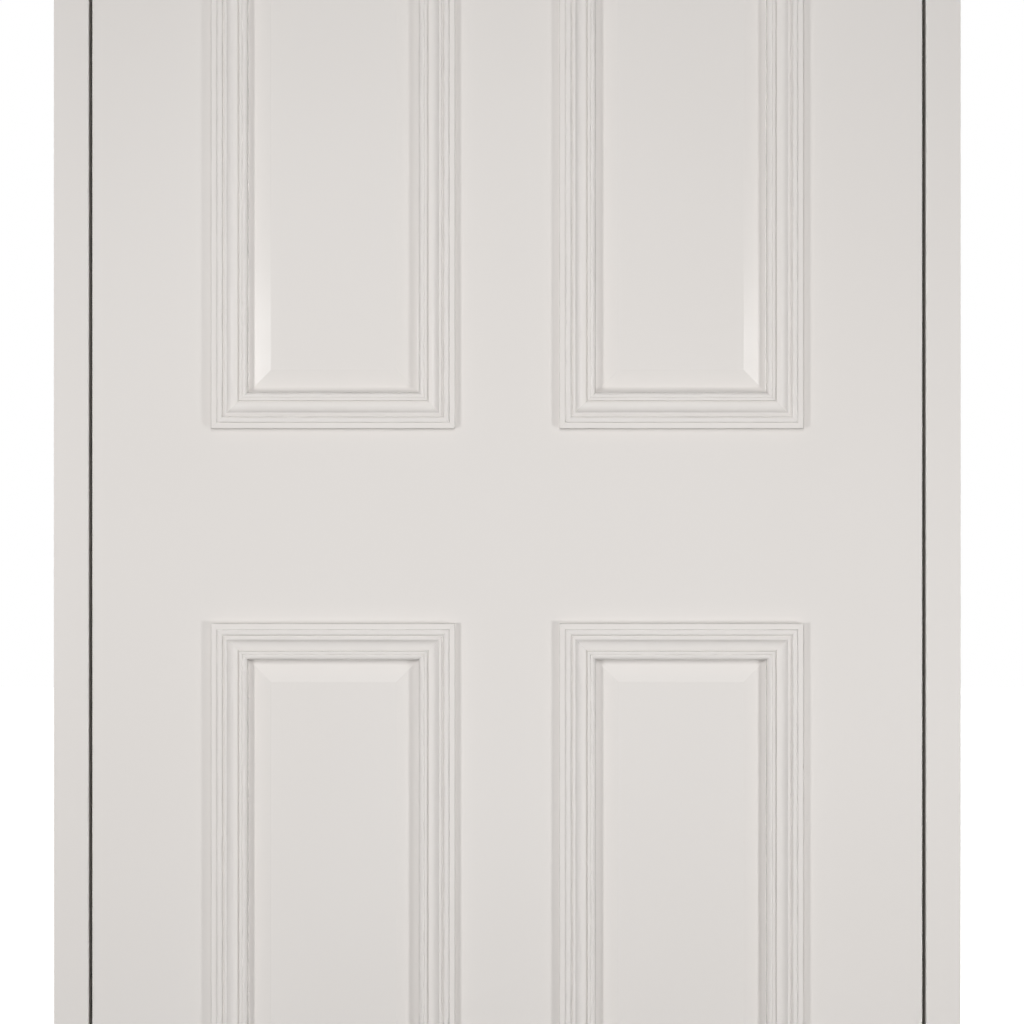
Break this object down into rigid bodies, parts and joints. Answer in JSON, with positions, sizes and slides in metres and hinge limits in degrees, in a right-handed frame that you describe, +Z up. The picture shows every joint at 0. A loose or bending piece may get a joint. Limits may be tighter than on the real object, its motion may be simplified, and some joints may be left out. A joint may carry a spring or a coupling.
{
  "type": "fire door",
  "caption": "Painted fire door leaf with raised-and-fielded panels and bolection mouldings, hung on butt hinges in its timber frame with stops, intumescent strips and smoke brushes.",
  "frame": {"origin": "middle of the frame's footprint: midway between the jambs, midway through the frame's depth, on the floor", "axes": "+X across the doorway towards the lock side, +Y through the frame away from the front face that the picture shows, +Z up"},
  "size_m": [0.832, 0.1467, 2.022],
  "materials": {
    "leaf_paint": "satin off-white paint",
    "panel_paint": "satin off-white paint",
    "moulding_paint": "satin off-white paint",
    "frame_paint": "satin off-white paint",
    "dowel_timber": "bare hardwood",
    "hinge_steel": "satin stainless",
    "bearing_steel": "polished steel",
    "screw_steel": "satin stainless",
    "intumescent_strip": "matt extruded",
    "smoke_brush": "woven pile",
    "hinge_pad": "matt graphite sheet"
  },
  "bodies": {
    "frame": {"hinge_jamb": "frame_paint", "lock_jamb": "frame_paint", "frame_head": "frame_paint", "head_joint_screws": "screw_steel", "hinge_side_stop": "frame_paint", "lock_side_stop": "frame_paint", "head_stop": "frame_paint", "hinge_side_strip": "intumescent_strip", "lock_side_strip": "intumescent_strip", "head_strip": "intumescent_strip", "hinge_side_brush": "smoke_brush", "lock_side_brush": "smoke_brush", "head_brush": "smoke_brush", "lower_hinge_frame_plate": "hinge_steel", "middle_hinge_frame_plate": "hinge_steel", "upper_hinge_frame_plate": "hinge_steel", "lower_hinge_pin": "hinge_steel", "middle_hinge_pin": "hinge_steel", "upper_hinge_pin": "hinge_steel", "lower_hinge_bearings": "bearing_steel", "middle_hinge_bearings": "bearing_steel", "upper_hinge_bearings": "bearing_steel", "jamb_hinge_pads": "hinge_pad", "jamb_hinge_screws": "screw_steel"},
    "leaf": {"hinge_stile": "leaf_paint", "lock_stile": "leaf_paint", "top_rail": "leaf_paint", "lock_rail": "leaf_paint", "bottom_rail": "leaf_paint", "upper_muntin": "leaf_paint", "lower_muntin": "leaf_paint", "upper_left_panel": "panel_paint", "upper_right_panel": "panel_paint", "lower_left_panel": "panel_paint", "lower_right_panel": "panel_paint", "front_upper_left_moulding": "moulding_paint", "front_upper_right_moulding": "moulding_paint", "front_lower_left_moulding": "moulding_paint", "front_lower_right_moulding": "moulding_paint", "back_upper_left_moulding": "moulding_paint", "back_upper_right_moulding": "moulding_paint", "back_lower_left_moulding": "moulding_paint", "back_lower_right_moulding": "moulding_paint", "joint_dowels": "dowel_timber", "leaf_hinge_pads": "hinge_pad", "leaf_hinge_screws": "screw_steel", "lower_hinge_leaf_plate": "hinge_steel", "middle_hinge_leaf_plate": "hinge_steel", "upper_hinge_leaf_plate": "hinge_steel"}
  },
  "joints": [
    {"name": "leaf_swing", "type": "hinge", "parent": "frame", "child": "leaf", "pos_m": [-0.3825, -0.0737, 1], "axis": [0, 0, -1], "range_deg": [0, 175]}
  ]
}
